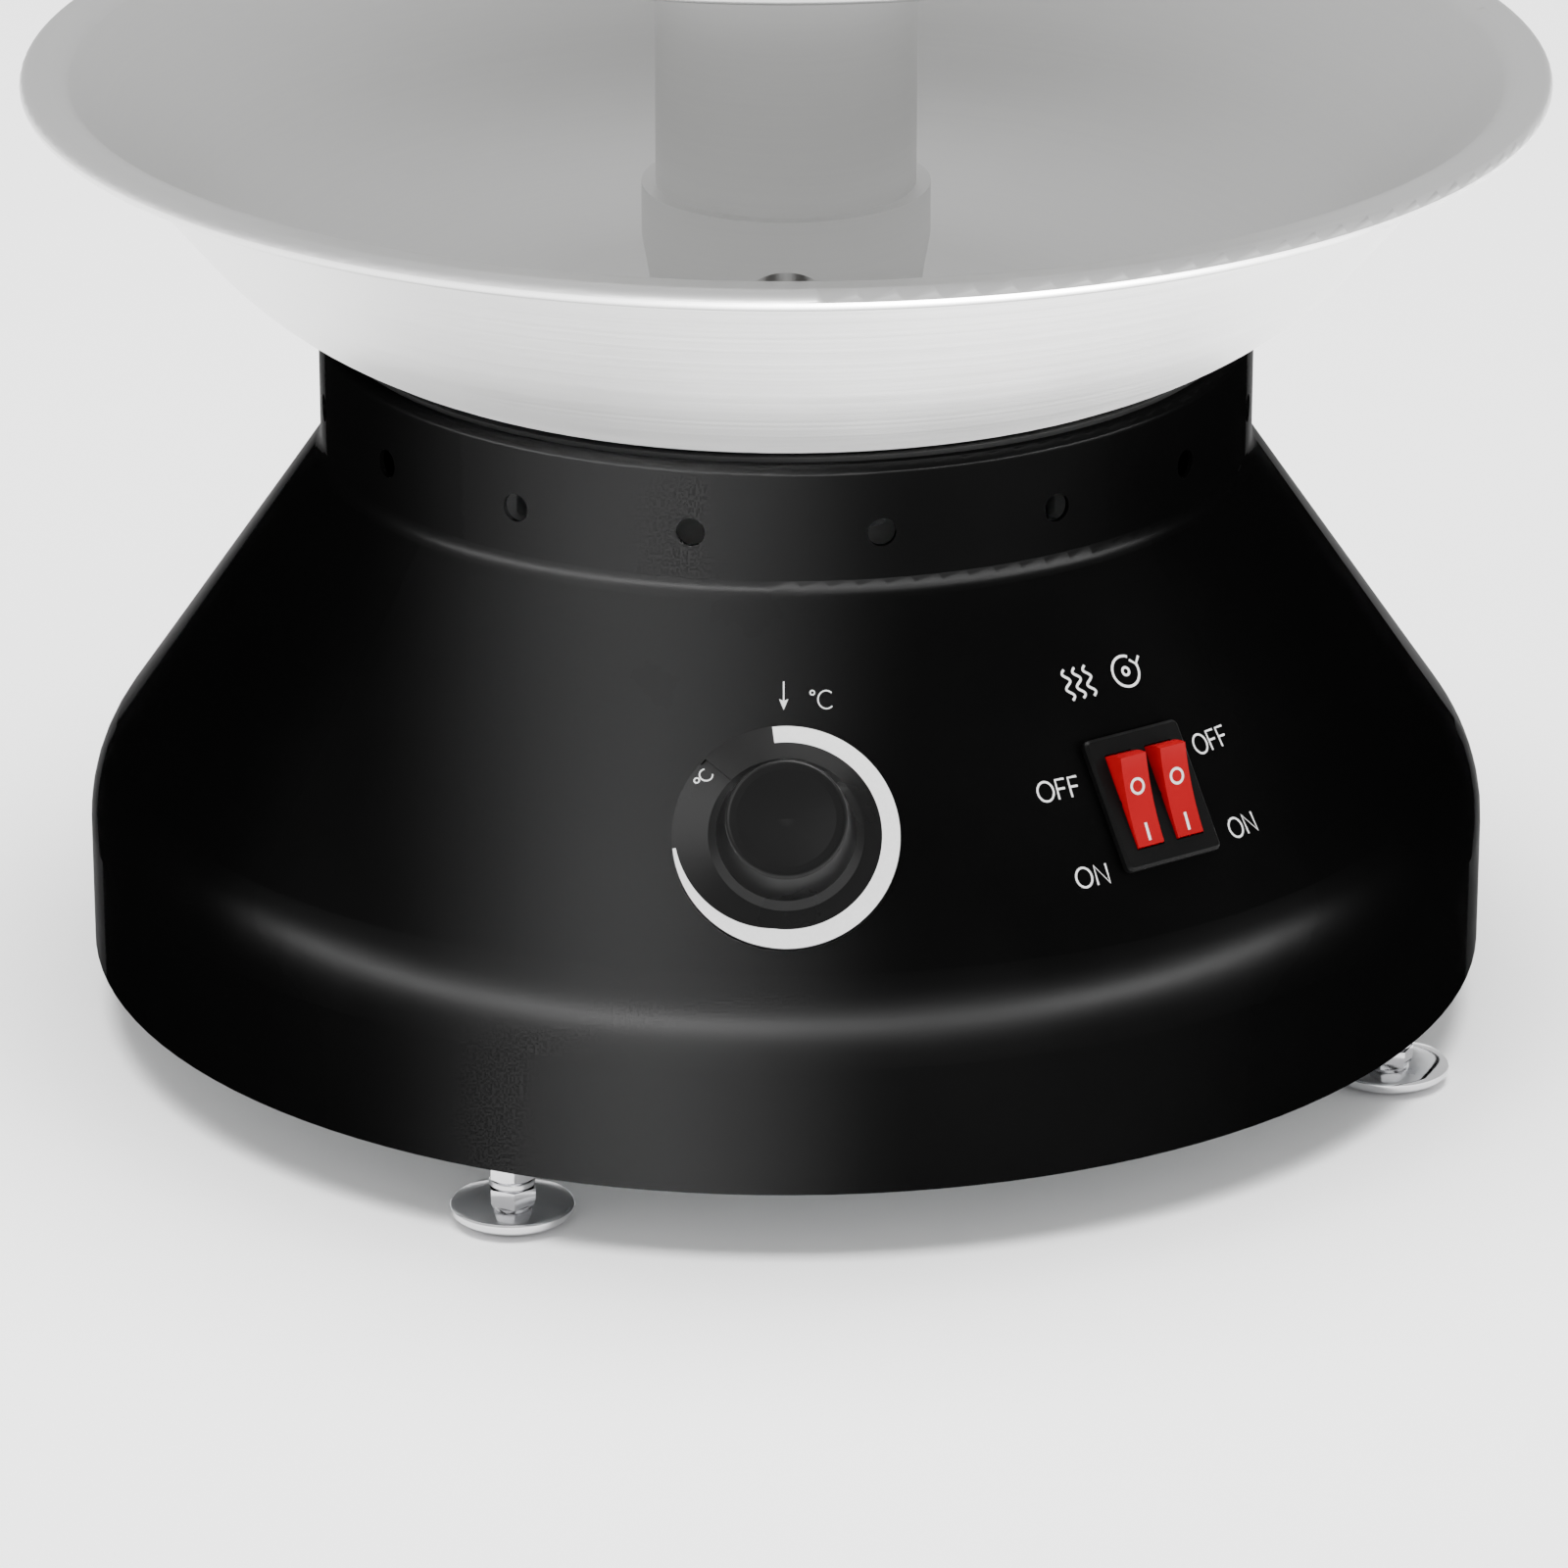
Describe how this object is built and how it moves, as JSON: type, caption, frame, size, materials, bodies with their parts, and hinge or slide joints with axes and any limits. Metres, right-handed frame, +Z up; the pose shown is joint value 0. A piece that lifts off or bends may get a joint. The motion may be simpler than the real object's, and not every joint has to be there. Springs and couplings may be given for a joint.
{
  "type": "chocolate fountain",
  "caption": "Chocolate fountain: a heated bowl on a black conical base, and an auger in a tower with stacked tiers. A temperature knob, twin rocker switch and levelling feet.",
  "frame": {"origin": "on the tower's axis, at the floor under the feet", "axes": "+Z up along the tower; -Y is the front, where the knob is; +X is to the right seen from the front"},
  "size_m": [0.352, 0.352, 0.6435],
  "materials": {
    "black_housing": "satin black",
    "stainless": "satin",
    "chrome": "polished",
    "zinc_steel": "zinc plated",
    "silicone": "matte",
    "heater_mica": "matte",
    "motor_metal": "satin",
    "bronze": "turned",
    "copper": "plain",
    "thermostat_case": "plain",
    "black_knob": "satin",
    "switch_black": "satin",
    "switch_red": "gloss",
    "gland_black": "matte",
    "block_white": "matte",
    "block_brass": "plain"
  },
  "bodies": {
    "base": {"housing": "black_housing", "mounting_ring": "zinc_steel", "base_plate": "zinc_steel", "base_plate_screws": "zinc_steel", "foot_lock_nuts": "chrome", "foot_inserts": "zinc_steel", "bowl": "stainless", "bowl_gasket": "silicone", "heating_element": "heater_mica", "heater_clamp_plate": "zinc_steel", "bowl_studs": "zinc_steel", "motor_spacers": "zinc_steel", "stud_nuts": "zinc_steel", "tie_rods": "zinc_steel", "tie_rod_screws": "zinc_steel", "motor_plate": "zinc_steel", "motor_screws": "zinc_steel", "gearbox": "motor_metal", "motor": "motor_metal", "drive_bush": "bronze", "bush_nut": "zinc_steel", "shaft_seal": "silicone", "tower_pins": "stainless", "thermostat_body": "thermostat_case", "thermostat_screws": "zinc_steel", "capillary_tube": "copper", "thermostat_bulb": "copper", "bulb_clips": "zinc_steel", "switch_housing": "switch_black", "switch_terminals": "copper", "rocker_pins": "zinc_steel", "cable_gland": "gland_black", "gland_nut": "gland_black", "terminal_block": "block_white", "terminal_screws": "block_brass"},
    "drive": {"gearbox_shaft": "zinc_steel", "shaft_coupling": "zinc_steel", "coupling_screws": "zinc_steel", "drive_shaft": "stainless"},
    "auger": {"auger_core": "stainless", "auger_flight": "stainless"},
    "tower": {"tower_tube": "stainless", "tower_foot": "stainless"},
    "tier_1": {"tier_1_sleeve": "stainless", "tier_1_dish": "stainless"},
    "tier_2": {"tier_2_sleeve": "stainless", "tier_2_dish": "stainless"},
    "tier_3": {"tier_3_sleeve": "stainless", "tier_3_dish": "stainless"},
    "crown": {"crown_sleeve": "stainless", "crown_cup": "stainless"},
    "knob": {"knob": "black_knob", "thermostat_stem": "zinc_steel"},
    "rocker_motor": {"rocker_motor": "switch_red"},
    "rocker_heat": {"rocker_heat": "switch_red"},
    "foot_1": {"foot_1": "chrome"},
    "foot_2": {"foot_2": "chrome"},
    "foot_3": {"foot_3": "chrome"},
    "foot_4": {"foot_4": "chrome"}
  },
  "joints": [
    {"name": "knob_turn", "type": "hinge", "parent": "base", "child": "knob", "pos_m": [0, -0.14143, 0.0914], "axis": [0, -0.8211, 0.5708], "range_deg": [0, 300]},
    {"name": "rocker_motor_turn", "type": "hinge", "parent": "base", "child": "rocker_motor", "pos_m": [0.08603, -0.11328, 0.09248], "axis": [-0.8192, -0.5736, 0], "range_deg": [0, 28]},
    {"name": "rocker_heat_turn", "type": "hinge", "parent": "base", "child": "rocker_heat", "pos_m": [0.07702, -0.11959, 0.09248], "axis": [-0.8192, -0.5736, 0], "range_deg": [0, 28]},
    {"name": "drive_turn", "type": "hinge", "parent": "base", "child": "drive", "pos_m": [0, 0, 0.15], "axis": [0, 0, 1], "continuous": true},
    {"name": "auger_lift", "type": "slide", "parent": "drive", "child": "auger", "axis": [0, 0, 1], "range_m": [0, 0.475]},
    {"name": "tower_lift", "type": "slide", "parent": "base", "child": "tower", "axis": [0, 0, 1], "range_m": [0, 0.47]},
    {"name": "tier_1_lift", "type": "slide", "parent": "tower", "child": "tier_1", "axis": [0, 0, 1], "range_m": [0, 0.435]},
    {"name": "tier_2_lift", "type": "slide", "parent": "tier_1", "child": "tier_2", "axis": [0, 0, 1], "range_m": [0, 0.325]},
    {"name": "tier_3_lift", "type": "slide", "parent": "tier_2", "child": "tier_3", "axis": [0, 0, 1], "range_m": [0, 0.215]},
    {"name": "crown_lift", "type": "slide", "parent": "tier_3", "child": "crown", "axis": [0, 0, 1], "range_m": [0, 0.11]},
    {"name": "foot_1_height", "type": "slide", "parent": "base", "child": "foot_1", "axis": [0, 0, -1], "range_m": [0, 0.006]},
    {"name": "foot_2_height", "type": "slide", "parent": "base", "child": "foot_2", "axis": [0, 0, -1], "range_m": [0, 0.006]},
    {"name": "foot_3_height", "type": "slide", "parent": "base", "child": "foot_3", "axis": [0, 0, -1], "range_m": [0, 0.006]},
    {"name": "foot_4_height", "type": "slide", "parent": "base", "child": "foot_4", "axis": [0, 0, -1], "range_m": [0, 0.006]}
  ]
}
